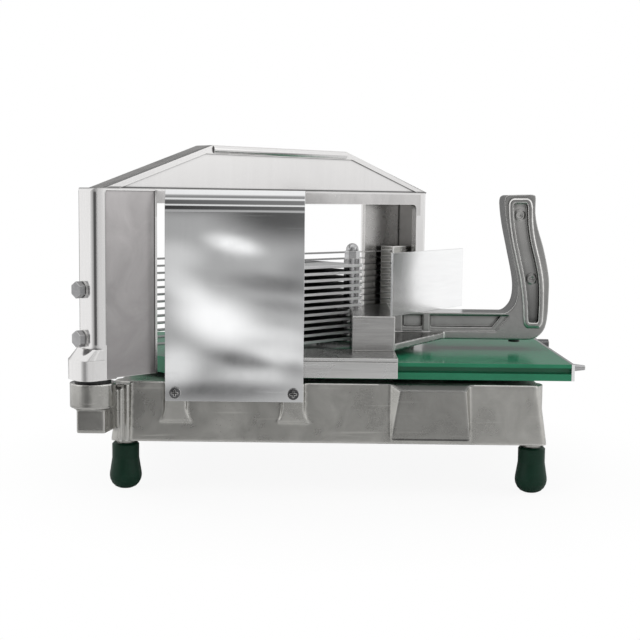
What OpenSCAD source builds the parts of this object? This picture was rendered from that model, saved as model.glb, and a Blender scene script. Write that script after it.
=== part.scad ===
// Hand-pushed tomato slicer: a stack of horizontal blades stands at 45 degrees over a slide board,
// and a sliding pusher with fins carries the food through the blades.
// Millimetres. +X runs along the board to the handle, +Y to the back, +Z up from the table.

/* [Feet] */
// Height of a rubber foot
foot_h = 30.5; // [24:0.5:40]
// Radius of a foot's body
foot_r = 8.9; // [8:0.1:11]
// Radius of the flare near the bottom of a foot
foot_flare_r = 10.6; // [9.5:0.1:13]
// Bare post between a foot and the base
foot_gap = 3; // [1:0.5:8]
// Radius of the cast posts that hold the feet
post_r = 6; // [4:0.1:7]
// Distance of a post from the lower end edges of the base
foot_inset = 8; // [7:0.5:14]
// Distance of a post from the lower long edges of the base
foot_inset_y = 13.5; // [7:0.5:20]

/* [Base casting] */
// Length of the deck
base_l = 276; // [260:1:320]
// Depth of the deck, front to back
base_w = 172; // [160:1:200]
// Height of the casting
base_h = 39; // [34:0.5:48]
// How far the walls lean out from deck to bottom edge
draft = 5; // [3:0.5:8]
// Thickness of deck and walls
wall = 4; // [3:0.25:6]
// Corner radius of the casting
base_corner = 4.5; // [3:0.5:14]
// Length of the bulge on the front wall
bulge_l = 52; // [30:1:70]
// Distance of the bulge from the right end of the deck
bulge_from_end = 46; // [30:1:70]
// How far the bulge stands proud of the deck edge
bulge_out = 5.8; // [5.5:0.1:10]

/* [Slide board] */
// Depth of the board, front to back
board_w = 165; // [155:1:175]
// Thickness of the board
board_t = 11; // [9:0.25:14]
// Height of the pads under the board
pad_h = 2.6; // [1.5:0.1:5]
// How far the board overhangs the deck on the right
board_overhang = 21; // [10:1:40]
// Corner cut at the front left, which clears the swinging frame
board_cut = 44; // [36:1:50]
// Height of the guide grooves
groove_h = 4; // [3:0.1:5]
// Depth of the guide grooves
groove_d = 5; // [4:0.1:7]
// Thickness of the lip above a groove
groove_lip = 2.5; // [2:0.1:3.5]
// Thickness of the metal end strip
strip_t = 2; // [1:0.1:3]
// Length of the stop pin and stop screw outside the strip
stop_l = 10.6; // [6:0.1:14]

/* [Front guard] */
// Width of the guard plate
guard_w = 90; // [80:1:96]
// Height of the guard plate
guard_h = 137; // [120:1:140]
// Thickness of the guard plate
guard_t = 1.5; // [1:0.1:2.5]
// Height of the curled top edge
curl_h = 14.5; // [8:0.5:18]
// Radius of the curl
curl_r = 30; // [26:1:60]
// Distance between the guard screws
guard_span = 77; // [60:1:78]
// Distance of the guard screws from the bottom edge
guard_screw_up = 5.5; // [5:0.25:9]
// Width of the bosses behind the guard screws
boss_w = 14; // [10:0.5:18]
// How far the bosses stand proud of the deck edge
boss_out = 4; // [3:0.25:4.5]

/* [Blade frame] */
// Length of the frame along its diagonal
frame_l = 318; // [312:1:330]
// Depth of the frame, front face to rear face
frame_d = 28; // [26:0.5:32]
// Width of the wide leg panels
leg_w = 48; // [44:0.5:48]
// Width of the narrow leg lips
lip_w = 13.6; // [10:0.1:16]
// Thickness of panels, lips and bars
panel_t = 5; // [3.5:0.25:5.5]
// Thickness of the end walls
end_t = 8; // [6:0.5:9]
// Height of the opening above the frame's lower edge
opening_h = 110.5; // [105:0.5:118]
// Height of the bar over the opening
bar_h = 9.5; // [7:0.5:14]
// Height of the gable over the bar
gable_h = 29.5; // [20:0.5:40]
// Length of the ridge
ridge_l = 128; // [90:1:160]
// Width of the gable flange
flange_w = 18; // [12:0.5:24]
// Radius of the hinge hub
hub_r = 15.4; // [14.7:0.1:17]
// Height of the hinge hub
hub_h = 12.7; // [12:0.1:20]
// Radius of the base's hinge barrel
barrel_r = 14.6; // [12:0.1:14.6]
// Height of the base's hinge barrel
barrel_h = 16; // [12:0.5:20]
// Radius of the hinge pin
pin_r = 6; // [4:0.1:7]

/* [Blades] */
// Number of blades
blade_n = 13; // [8:1:13]
// Distance from blade to blade
blade_pitch = 4.7625; // [4.5:0.0125:5]
// Height of the lowest blade above the board
blade_lift = 8.5; // [8.5:0.1:12]
// Thickness of a blade
blade_t = 0.9; // [0.5:0.05:1]
// Width of a blade
blade_w = 10.5; // [9:0.5:15]
// Distance between the two blade rods
rod_span = 268; // [266:0.5:270]
// Radius of a blade rod
rod_r = 2.5; // [1.5:0.1:3]
// Depth of the blade holders
holder_d = 13; // [12:0.1:17.2]

/* [Pusher] */
// Length of the cross beam along the board
beam_l = 29.2; // [27:0.2:34]
// Height of the cross beam
beam_h = 24; // [21:0.1:26]
// Distance of the beam's front face from the board's front edge
beam_setback = 33; // [26:0.5:36]
// Thickness of the rail webs
rail_t = 3.1; // [2:0.1:4]
// Thickness of the rail plates
rail_plate_t = 2.6; // [2:0.1:3]
// Width of the front rail plate
front_plate_w = 49; // [26:0.5:56]
// Width of the rear rail plate
rear_plate_w = 56; // [40:0.5:64]
// Number of fins
fin_n = 12; // [8:1:12]
// Number of fins above the beam
fin_upper_n = 7; // [4:1:7]
// Thickness of a fin
fin_t = 2; // [1.2:0.1:2.4]
// Depth of a fin, square to the blades
fin_d = 58; // [50:0.5:60]
// How far the fins pass the blades at the end of the stroke
fin_past = 15; // [8:0.5:20]
// Length of a fin along the blades
fin_l = 131.5; // [126:0.5:133]
// Radius of the fin studs
stud_r = 3; // [2:0.1:3.5]
// Radius of the fin spacers
spacer_r = 6; // [4.5:0.1:6.5]

/* [Handle] */
// Width of the arm and grip, front to back
handle_w = 28; // [24:0.5:32]
// Height of the arm
arm_h = 19; // [17:0.5:21]
// Depth of the recesses in arm and grip
recess_d = 3.5; // [2:0.25:5]
// Width of the raised bead round the grip's recess
grip_border = 3.2; // [2.4:0.1:4]
// Distance of the grip's front edge from the beam
grip_from_beam = 74; // [70:0.5:90]
// Height of the grip above the arm's top
grip_rise = 84; // [76:0.5:90]
// Length of the grip along the board, from its front edge to its heel
grip_l = 36.8; // [33:0.2:42]

/* [Hand guard] */
// Length of the hand guard
shield_l = 108; // [90:1:116]
// Height of the hand guard
shield_h = 43.3; // [36:0.5:50]
// Thickness of the hand guard
shield_t = 1.5; // [1:0.1:2.5]
// Width of its mounting flange
shield_flange = 12; // [9:0.5:14]
// Angle of the hand guard to the board's length
shield_angle = 57.5; // [52:0.5:60]

/* [Fits] */
// Radial clearance of running fits
run_fit = 0.05; // [0.02:0.01:0.1]
// Radial clearance of seated pins and screws
seat_fit = 0.02; // [0.01:0.01:0.05]
// Gap between faces that slide past each other
slide_gap = 0.4; // [0.3:0.05:0.5]

/* [Hidden] */
$fn = 64;
eps = 0.01;
frame_angle = 45;
deck_mid_y = -2.5;

// Heights
base_z0 = foot_h + foot_gap;
deck_z = base_z0 + base_h;
board_z0 = deck_z + pad_h;
board_z1 = board_z0 + board_t;
groove_z1 = board_z1 - groove_lip;
groove_z0 = groove_z1 - groove_h;
rail_z0 = board_z0 + 2 * slide_gap;
plate_z0 = board_z1 + slide_gap;
plate_z1 = plate_z0 + rail_plate_t;
beam_z1 = plate_z1 + beam_h;
frame_z0 = deck_z + 5.5;
bar_z0 = frame_z0 + opening_h;
eaves_z = bar_z0 + bar_h;
ridge_z = eaves_z + gable_h;
blade_z0 = board_z1 + blade_lift;
function blade_z(i) = blade_z0 + (i - 1) * blade_pitch;
function fin_z(i) = blade_z0 + (i - 1.5) * blade_pitch;
holder_z0 = blade_z0 - blade_t / 2 - 3;
holder_z1 = blade_z(blade_n) + blade_t / 2 + 3.5;

// Base and board in plan
base_x0 = -133;
base_x1 = base_x0 + base_l;
base_y0 = deck_mid_y - base_w / 2;
base_y1 = deck_mid_y + base_w / 2;
board_x0 = base_x0;
board_x1 = base_x1 + board_overhang;
board_y0 = deck_mid_y - board_w / 2;
board_y1 = deck_mid_y + board_w / 2;
deck_inset = draft - foot_inset;
post_x = [base_x0 - deck_inset, base_x1 + deck_inset];
deck_inset_y = draft - foot_inset_y;
post_y = [base_y0 - deck_inset_y, base_y1 + deck_inset_y];
board_screw_in = [66, 40];
board_screw_out = 48;
board_screw_x = [base_x0 + board_screw_in[0], base_x1 - board_screw_in[1]];
board_screw_y = [deck_mid_y - board_screw_out, deck_mid_y + board_screw_out];
board_screw_r = 2.5;
pad_r = 9;
bulge_lean = 6.4;
bulge_foot = 3.5;
column_l = 9;
bead_post_r = 1.3;
lug_half = 9;
lug_drop = 16;
root_r = 4.4;
latch_root_r = 10;

// The frame's own axes: u along the blades to the rear right, n towards the pusher
frame_from_end = 94;
frame_x = base_x0 + frame_from_end;
function at_un(u, n) = [
  frame_x + u * cos(frame_angle) + n * sin(frame_angle),
  u * sin(frame_angle) - n * cos(frame_angle)
];
half_l = frame_l / 2;
front_y = -frame_d / 2;
rear_y = frame_d / 2;
left_step = 5;
left_rear_y = rear_y - left_step;
leg_corner = 8;
hub_in = 7.3;
hub_u = half_l - hub_in;
hinge_at = at_un(-hub_u, 0);
latch_at = at_un(hub_u, 0);
washer_t = 2.2;
washer_gap = 0.3;
hub_z0 = frame_z0 - 0.8;
barrel_z1 = hub_z0 - washer_gap - washer_t;
barrel_z0 = barrel_z1 - barrel_h;
hub_z1 = hub_z0 + hub_h;
shoulder_h = 7;
pin_z0 = barrel_z0 - 2.5;
pin_z1 = hub_z0 + hub_h - 2.2;
latch_pin_r = pin_r - 1;
latch_z1 = hub_z0 + hub_h - 2.2;
latch_slot = latch_pin_r + 0.6;
lock_r = 3;
lock_z = hub_z0 + hub_h / 2;
lock_tip_u = hub_u + latch_pin_r + 0.4;
lock_seat_u = hub_u + hub_r + 0.3;
lock_head_l = 8;
lock_head_r = 7;

// Tension bolts and blade holders, along u
bolt_low = 25;
bolt_step = 31;
bolt_z = [frame_z0 + bolt_low, frame_z0 + bolt_low + bolt_step];
bolt_r = 3;
bolt_af = 9.5;
bolt_head_h = 4.4;
bolt_washer_t = 0.8;
bolt_washer_r = 5.6;
holder_in = 127;
front_holder_out = half_l - end_t - 4;
rear_holder_out = half_l - end_t;
blade_half = rod_span / 2 + 7;
slot_end = blade_half + 0.5;
bolt_end = slot_end + 0.8;

// Pusher in plan
fin_u1 = 55.5;
fin_u0 = fin_u1 - fin_l;
fin_n0 = -fin_past;
fin_n1 = fin_d - fin_past;
stud_inset = 6;
stud_seat = 6;
stud_at = [at_un(fin_u0 + 11, fin_n1 - stud_inset), at_un(fin_u1 - 7.5, fin_n1 - stud_inset)];
lobe_r = spacer_r + 4.7;
beam_x0 = stud_at[1][0] - 0.7;
beam_x1 = beam_x0 + beam_l;
beam_y0 = board_y0 + beam_setback;
beam_clear_n = 22;
function on_beam_end(x) = (x - frame_x) * tan(frame_angle) - beam_clear_n / cos(frame_angle);
front_rail_past = 19;
rear_rail_past = 25;
front_rail_x0 = stud_at[0][0] - front_rail_past;
rear_rail_x0 = beam_x0 - rear_rail_past;
rail_out = slide_gap + rail_t;
tongue_d = groove_d - 1;
tongue_h = groove_h - 2 * slide_gap;
stud_boss_z = fin_z(1) - fin_t / 2;
rail_screw_r = 2.2;
fin_top = fin_z(fin_n) + fin_t / 2;
cap_washer_t = 4;
cap_hex_h = 5.5;
rail_screw_head_r = 4;
rail_screw_in = 6;
rail_screw_step = 10;
front_rail_screws = [
  [beam_x0 + rail_screw_in, beam_y0 + rail_screw_in],
  [beam_x1 - rail_screw_in, beam_y0 + rail_screw_in]
];
rear_screw_y = on_beam_end(beam_x1) - 2 * rail_screw_in;
rear_rail_screws = [
  [beam_x1 - rail_screw_in, rear_screw_y],
  [beam_x1 - rail_screw_in - rail_screw_step, rear_screw_y - 1.1 * rail_screw_step]
];
front_plate_y1 = max(board_y0 - rail_out + front_plate_w, front_rail_screws[0][1] + rail_screw_in);
rear_plate_y0 = min(board_y1 + rail_out - rear_plate_w, rear_rail_screws[1][1] - rail_screw_in);

// Inner edge of the frame's rear panel, clear of the rear rail
rail_clear = 1.5;
rear_panel_n = rear_y - panel_t + 0.5;
rear_panel_u0 = max(half_l - leg_w, (board_y1 + rail_out + rail_clear) / sin(frame_angle) - rear_panel_n);

// Handle, from the beam's right face
arm_z1 = beam_z1;
arm_z0 = arm_z1 - arm_h;
handle_y0 = deck_mid_y - handle_w / 2;
handle_y1 = deck_mid_y + handle_w / 2;
grip_x = beam_x1 + grip_from_beam;
grip_z1 = arm_z1 + grip_rise;
gusset_t = 4.6;
gusset_l = 38;
gusset_drop = 4.5;
handle_screw_y = deck_mid_y - 9;
handle_screw_z = [arm_z0 + 5, arm_z1 - 5];
handle_screw_r = 2.5;
handle_screw_head_r = 4.2;
handle_screw_head_h = 5;
handle_screw_grip = 7;
pocket_from_beam = 8;
pocket_up = 8.8;
pocket_down = 1.6;
pocket_end = -3;
pocket_step = 3;
rim_depth = 1.2;
bead_h = 1;
bead_step = 0.6;
pocket_rib_x = beam_x1 + 21;
pocket_rib_w = 6.5;
mark_r = 3.4;
mark_h = 0.6;
glide_x = [beam_x1 + 25.5, grip_x + 15];
glide_r = 4;
glide_stem_r = 2.5;
glide_stem_l = 5;
glide_h = 2.8;

// Hand guard, from the beam's front right corner
shield_at = [beam_x1 - 2.2, beam_y0 + 0.5];
shield_mid = (deck_mid_y - shield_at[1]) / sin(shield_angle);
shield_screw_s = [shield_mid - 8, shield_mid + 5];
shield_screw_r = 2;

// Guard plate
guard_from_end = 76;
guard_drop = 12;
boss_drop = 25.5;
guard_mid_x = base_x0 + guard_from_end;
guard_screw_x = [guard_mid_x - guard_span / 2, guard_mid_x + guard_span / 2];
guard_z0 = deck_z - guard_drop;
guard_screw_z = guard_z0 + guard_screw_up;
guard_y1 = min(base_y0, board_y0 - rail_out) - boss_out;
guard_seat_l = base_y0 + 2 * wall - guard_y1;
guard_screw_r = 2;
pan_head_r = 3.8;
pan_head_h = 2.4;

// Shift that puts the middle of the whole object's box over the origin
x_low = hinge_at[0] - hub_r;
x_high = board_x1 + strip_t + stop_l;
y_low = -(hub_u + hub_r - 2 * leg_corner - front_y) * sin(frame_angle) - leg_corner;
y_high = (lock_seat_u + lock_head_l) * sin(frame_angle) + lock_head_r * cos(frame_angle);
centre_shift = [-(x_low + x_high) / 2, -(y_low + y_high) / 2, 0];

echo(centre_shift = centre_shift, hinge = hinge_at + [centre_shift[0], centre_shift[1]]);
echo(stroke = board_x1 - slide_gap - beam_x1, lock_z = lock_z, latch = latch_at);

aluminium = [0.72, 0.73, 0.73];
polished = [0.82, 0.83, 0.84];
steel = [0.62, 0.63, 0.64];
board_green = [0.16, 0.5, 0.36];
foot_green = [0.07, 0.17, 0.12];

FIXED = [
  "base_casting", "slide_board", "board_screws", "end_strip", "stop_pin", "stop_screw",
  "front_guard", "guard_screws", "hinge_pin", "locating_stud", "bearing_washers",
  "frame_casting", "front_blade_holder", "rear_blade_holder", "blade_rods", "tension_bolts",
  "tension_washers", "holder_screws", "lock_screw",
  "cross_beam", "front_rail", "rear_rail", "rail_screws", "fin_spacers", "fin_studs",
  "cap_nuts", "push_handle", "handle_screws", "glide_buttons", "hand_guard",
  "hand_guard_screws"
];
FOOT_NAMES = ["front_left", "front_right", "rear_left", "rear_right"];
function foot_name(i) = str("rubber_foot_", FOOT_NAMES[i]);
function blade_name(i) = str("blade_", i);
function fin_name(i) = str("pusher_fin_", i);

// Shared shapes

// Box between two corners
module block(low, high) {
  translate(low) cube(high - low);
}

// Flat rectangle from p to q with rounded corners, as true arcs
module round_rect(p, q, r) {
  translate([p[0] + r, p[1]]) square([q[0] - p[0] - 2 * r, q[1] - p[1]]);
  translate([p[0], p[1] + r]) square([q[0] - p[0], q[1] - p[1] - 2 * r]);
  for (x = [p[0] + r, q[0] - r]) {
    for (y = [p[1] + r, q[1] - r]) {
      translate([x, y]) circle(r);
    }
  }
}

// Upright plate from a flat outline
module slab(z0, z1) {
  translate([0, 0, z0]) linear_extrude(z1 - z0) children();
}

// Upright cylinder at a plan point
module rod(at, r, z0, z1) {
  translate([at[0], at[1], z0]) cylinder(r = r, h = z1 - z0);
}

// Cylinder along +X from x0 to x1
module rod_x(x0, x1, y, z, r, sides = 64) {
  translate([x0, y, z]) rotate([0, 90, 0]) cylinder(r = r, h = x1 - x0, $fn = sides);
}

// Children in the frame's axes: local x is u, local y points to the rear left
module in_frame() {
  translate([frame_x, 0, 0]) rotate(frame_angle) children();
}

// Whole object moved so that its box is centred
module placed() {
  translate(centre_shift) children();
}

// Base

// Wall shape that leans out downwards, grown by g
module tub(g, z0, z1) {
  lean = draft * (deck_z - z0) / base_h;
  top_lean = draft * (deck_z - z1) / base_h;
  hull() {
    slab(z0, z0 + eps) round_rect([base_x0 - lean - g, base_y0 - lean - g],
      [base_x1 + lean + g, base_y1 + lean + g], base_corner, $fn = 32);
    slab(z1 - eps, z1) round_rect([base_x0 - top_lean - g, base_y0 - top_lean - g],
      [base_x1 + top_lean + g, base_y1 + top_lean + g], base_corner, $fn = 32);
  }
}

// Hinge barrel with the lug that carries it out from the wall
module barrel_lug(at, root, r) {
  hull() {
    block([at[0] - lug_half, at[1] - lug_half, barrel_z0 - lug_drop],
      [at[0] + lug_half, at[1] + lug_half, barrel_z0 + 2]);
    rod(root, r, barrel_z0 - lug_drop, deck_z - 1, $fn = 32);
  }
  rod(at, barrel_r, barrel_z0, barrel_z1);
}

// Wedge on the front wall: an upright face with slanted sides that dies out at the wall's foot
module bulge() {
  x0 = base_x1 - bulge_from_end - bulge_l;
  x1 = base_x1 - bulge_from_end;
  low = base_z0 + bulge_foot;
  hull() {
    spread(base_y0 - bulge_out, base_y0 - bulge_out + eps) polygon([
      [x0 + bulge_lean, deck_z - bulge_foot], [x1 - bulge_lean / 2, deck_z - bulge_foot],
      [x1, low], [x0 + 1, low]
    ]);
    spread(base_y0, base_y0 + wall) polygon([[x0, deck_z - eps], [x1, deck_z - eps], [x1, low], [x0, low]]);
  }
}

// Boss behind a guard screw, flared at its foot
module guard_boss() {
  low = deck_z - boss_drop;
  spread(guard_y1, base_y0 + wall) polygon([
    [-boss_w / 2, deck_z], [-boss_w / 2, low + 8], [-boss_w / 2 - 1, low + 3],
    [-boss_w / 2 - 3, low], [boss_w / 2 + 3, low], [boss_w / 2 + 1, low + 3],
    [boss_w / 2, low + 8], [boss_w / 2, deck_z]
  ]);
}

module base_casting() {
  hinge_root = [base_x0 - root_r / 2, base_y0 + wall];
  latch_root = [latch_at[0] - latch_root_r / 2, base_y1 - 2 * wall];
  bead_x = [base_x0 + 2.2, base_x0 + 6.4];
  column_y0 = base_y0 - draft - 0.6;
  color(aluminium) difference() {
    union() {
      difference() {
        union() {
          tub(0, base_z0, deck_z);
          barrel_lug(hinge_at, hinge_root, root_r);
          barrel_lug(latch_at, latch_root, latch_root_r);
          for (x = guard_screw_x) {
            translate([x, 0, 0]) guard_boss();
          }
          bulge();
          block([base_x0 - 1, column_y0, base_z0], [base_x0 - 1 + column_l, base_y0 + wall, deck_z - 1]);
          rod([bead_x[0], column_y0 - 0.4], bead_post_r, base_z0, deck_z - wall);
          rod([bead_x[1], column_y0], bead_post_r, base_z0, deck_z - 1);
        }
        tub(-wall, base_z0 - 1, deck_z - wall);
      }
      for (x = post_x) {
        for (y = post_y) {
          rod([x, y], post_r, base_z0 - foot_gap - foot_h / 2, deck_z - eps);
        }
      }
      for (x = board_screw_x) {
        for (y = board_screw_y) {
          rod([x, y], pad_r, deck_z - eps, board_z0);
        }
      }
      for (x = guard_screw_x) {
        block([x - boss_w / 2, base_y0, guard_screw_z - 1.5 * wall],
          [x + boss_w / 2, base_y0 + 2 * wall + 1, deck_z - eps]);
      }
    }
    for (x = board_screw_x) {
      for (y = board_screw_y) {
        rod([x, y], board_screw_r + seat_fit, base_z0, board_z0 + 1);
      }
    }
    for (x = guard_screw_x) {
      translate([x, guard_y1 - 1, guard_screw_z]) rotate([-90, 0, 0])
        cylinder(r = guard_screw_r + seat_fit, h = guard_seat_l + 1);
    }
    rod(hinge_at, pin_r + seat_fit, pin_z0 - 0.5, barrel_z1 + 1);
    rod(latch_at, latch_pin_r + seat_fit, barrel_z0, barrel_z1 + 1);
  }
}

// Rubber cap with a flared, bevelled bottom, pushed on a post
module rubber_foot(i) {
  at = [post_x[i % 2], post_y[floor(i / 2)]];
  color(foot_green) translate([at[0], at[1], 0]) difference() {
    rotate_extrude() polygon([
      [0, 0], [foot_flare_r * 0.45, 0], [foot_flare_r * 0.66, foot_h * 0.035],
      [foot_flare_r * 0.84, foot_h * 0.1], [foot_flare_r * 0.965, foot_h * 0.19],
      [foot_flare_r, foot_h * 0.27], [foot_flare_r * 0.985, foot_h * 0.34],
      [(foot_r + foot_flare_r) / 2, foot_h * 0.48], [foot_r, foot_h * 0.66],
      [foot_r, foot_h * 0.96], [foot_r * 0.87, foot_h], [0, foot_h]
    ]);
    translate([0, 0, foot_h / 2]) cylinder(r = post_r + seat_fit, h = foot_h);
  }
}

// Board, strip and stops

// Groove along one long edge, open at the end strip
module edge_groove(y0, x0) {
  block([x0, y0, groove_z0], [board_x1 + 1, y0 + groove_d + 1, groove_z1]);
}

module slide_board() {
  stop_z = (groove_z0 + groove_z1) / 2;
  color(board_green) difference() {
    slab(board_z0, board_z1) polygon([
      [board_x0 + board_cut, board_y0], [board_x1, board_y0], [board_x1, board_y1],
      [board_x0, board_y1], [board_x0, board_y0 + board_cut]
    ]);
    edge_groove(board_y0 - 1, front_rail_x0 - slide_gap);
    edge_groove(board_y1 - groove_d, rear_rail_x0 - slide_gap);
    for (x = board_screw_x) {
      for (y = board_screw_y) {
        rod([x, y], board_screw_r + seat_fit, board_z0 - 1, board_z1 - 3);
      }
    }
    for (y = stop_y()) {
      rod_x(board_x1 - 14, board_x1 + 1, y, stop_z, 2 + seat_fit);
    }
  }
}

stop_in = [19, 14];
function stop_y() = [board_y0 + stop_in[0], board_y1 - stop_in[1]];

module board_screws() {
  color(steel) for (x = board_screw_x) {
    for (y = board_screw_y) {
      rod([x, y], board_screw_r, deck_z - wall, board_z1 - 3.5);
      rod([x, y], 2 * board_screw_r, deck_z - wall - 3, deck_z - wall);
    }
  }
}

module end_strip() {
  stop_z = (groove_z0 + groove_z1) / 2;
  color(polished) difference() {
    block([board_x1, board_y0, board_z0], [board_x1 + strip_t, board_y1, board_z1]);
    for (y = stop_y()) {
      rod_x(board_x1 - 1, board_x1 + strip_t + 1, y, stop_z, 2 + seat_fit);
    }
  }
}

module stop_pin() {
  stop_z = (groove_z0 + groove_z1) / 2;
  x0 = board_x1 + strip_t;
  color(steel) {
    rod_x(board_x1 - 13, x0, stop_y()[0], stop_z, 2);
    translate([x0, stop_y()[0], stop_z]) rotate([0, 90, 0]) cylinder(r1 = 2.9, r2 = 1.6, h = stop_l);
  }
}

module stop_screw() {
  stop_z = (groove_z0 + groove_z1) / 2;
  x0 = board_x1 + strip_t;
  color(steel) {
    rod_x(board_x1 - 13, x0, stop_y()[1], stop_z, 2);
    rod_x(x0, x0 + 1.2, stop_y()[1], stop_z, 4.4);
    rod_x(x0 + 1.2, x0 + stop_l, stop_y()[1], stop_z, 3.7, 6);
  }
}

// Front guard

// Side outline of the plate: upright sheet, then an arc that curls back
module guard_profile() {
  z_bend = guard_z0 + guard_h - curl_h;
  turn = asin(curl_h / curl_r);
  centre = [guard_y1 - guard_t + curl_r, z_bend];
  translate([guard_y1 - guard_t, guard_z0]) square([guard_t, guard_h - curl_h]);
  intersection() {
    difference() {
      translate(centre) circle(curl_r, $fn = 180);
      translate(centre) circle(curl_r - guard_t, $fn = 180);
    }
    polygon([centre, centre + [-2 * curl_r, 0], centre + 2 * curl_r * [-cos(turn), sin(turn)]]);
  }
}

module front_guard() {
  color(polished) difference() {
    translate([guard_mid_x - guard_w / 2, 0, 0]) rotate([90, 0, 90])
      linear_extrude(guard_w) guard_profile();
    for (x = guard_screw_x) {
      translate([x, guard_y1 - guard_t - 1, guard_screw_z]) rotate([-90, 0, 0])
        cylinder(r = guard_screw_r + seat_fit, h = guard_t + 2);
    }
  }
}

// Pan-head screw along +Z with its seat at the origin and a cross recess
module pan_screw(shank_r, shank_l, head_r, head_h) {
  translate([0, 0, -shank_l]) cylinder(r = shank_r, h = shank_l);
  difference() {
    rotate_extrude() intersection() {
      translate([0, head_h - 2.2 * head_r]) circle(2.2 * head_r, $fn = 120);
      square([head_r, head_h]);
    }
    for (turn = [0, 90]) {
      rotate(turn) translate([-head_r * 0.55, -head_r * 0.12, head_h - 1.1])
        cube([head_r * 1.1, head_r * 0.24, 2]);
    }
  }
}

module guard_screws() {
  color(steel) for (x = guard_screw_x) {
    translate([x, guard_y1 - guard_t, guard_screw_z]) rotate([90, 0, 0])
      pan_screw(guard_screw_r, guard_t + guard_seat_l - 2, pan_head_r, pan_head_h);
  }
}

// Hinge and latch

module hinge_pin() {
  color(steel) rod(hinge_at, pin_r, pin_z0, pin_z1);
}

module locating_stud() {
  color(steel) rod(latch_at, latch_pin_r, barrel_z0, latch_z1);
}

module bearing_washers() {
  color([0.2, 0.2, 0.2]) {
    difference() {
      rod(hinge_at, barrel_r - 3, barrel_z1, barrel_z1 + washer_t);
      rod(hinge_at, pin_r + seat_fit, barrel_z1 - 1, hub_z0);
    }
    difference() {
      rod(latch_at, barrel_r - 3, barrel_z1, barrel_z1 + washer_t);
      rod(latch_at, latch_pin_r + seat_fit, barrel_z1 - 1, hub_z0);
    }
  }
}

// Blade frame

// Plan of the left leg: wide front panel and end wall, outer corners rounded
module left_leg_plan() {
  intersection() {
    union() {
      translate([-half_l, front_y]) square([leg_w, panel_t]);
      translate([-half_l, front_y]) square([end_t, left_rear_y - front_y]);
    }
    round_rect([-half_l, front_y], [half_l, left_rear_y], leg_corner);
  }
}

// Plan of the right leg: narrow front lip, end wall and wide rear panel
module right_leg_plan() {
  intersection() {
    union() {
      translate([half_l - lip_w, front_y]) square([lip_w, panel_t - 0.5]);
      translate([half_l - end_t, front_y]) square([end_t, frame_d]);
      translate([rear_panel_u0, rear_y - panel_t + 0.5]) square([half_l - rear_panel_u0, panel_t - 0.5]);
    }
    round_rect([-half_l, front_y], [half_l, rear_y], 5);
  }
}

// Side outline of the gable, lowered by d and with a ridge lowered by r
module gable_outline(d, r) {
  low = [-half_l + leg_corner, half_l - 1];
  run = [-ridge_l / 2 - low[0], low[1] - ridge_l / 2];
  polygon([
    [low[0], eaves_z - 1], [low[0], eaves_z - d], [-ridge_l / 2 + (d - r) * run[0] / gable_h, ridge_z - r],
    [ridge_l / 2 - (d - r) * run[1] / gable_h, ridge_z - r], [low[1], eaves_z - d], [low[1], eaves_z - 1]
  ]);
}

// Upright outline spread from y0 to y1
module spread(y0, y1) {
  translate([0, y1, 0]) rotate([90, 0, 0]) linear_extrude(y1 - y0) children();
}

// Plan of the foot under one end of the frame, set in by g: round at the back, a rounded corner at the front
module foot_plan(side, g) {
  reach = hub_u + hub_r - g;
  intersection() {
    union() {
      translate([side * hub_u, 0]) circle(hub_r - g);
      round_rect([min(side * reach, side * (hub_u - leg_corner)), front_y + g],
        [max(side * reach, side * (hub_u - leg_corner)), leg_corner / 2], leg_corner);
      translate([side * hub_u - hub_r / 2, front_y + g]) square([hub_r, hub_r]);
    }
    translate([-2 * half_l, front_y + g]) square([4 * half_l, frame_d + 2 * hub_r]);
  }
}

// Foot with a shoulder that slopes up into the end wall
module hub(side) {
  wall_u = half_l - end_t;
  shoulder_set = 0.2;
  difference() {
    union() {
      slab(hub_z0, hub_z1) foot_plan(side, 0);
      hull() {
        slab(hub_z1 - 1, hub_z1) foot_plan(side, shoulder_set, $fn = 64);
        slab(hub_z1 + shoulder_h - eps, hub_z1 + shoulder_h)
          round_rect([min(side * half_l, side * wall_u), front_y + shoulder_set],
            [max(side * half_l, side * wall_u), left_rear_y], end_t / 2 - eps, $fn = 32);
      }
    }
    block([-wall_u, front_y + panel_t, holder_z0 - 0.4], [wall_u, rear_y + hub_r, bar_z0]);
  }
}

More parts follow.
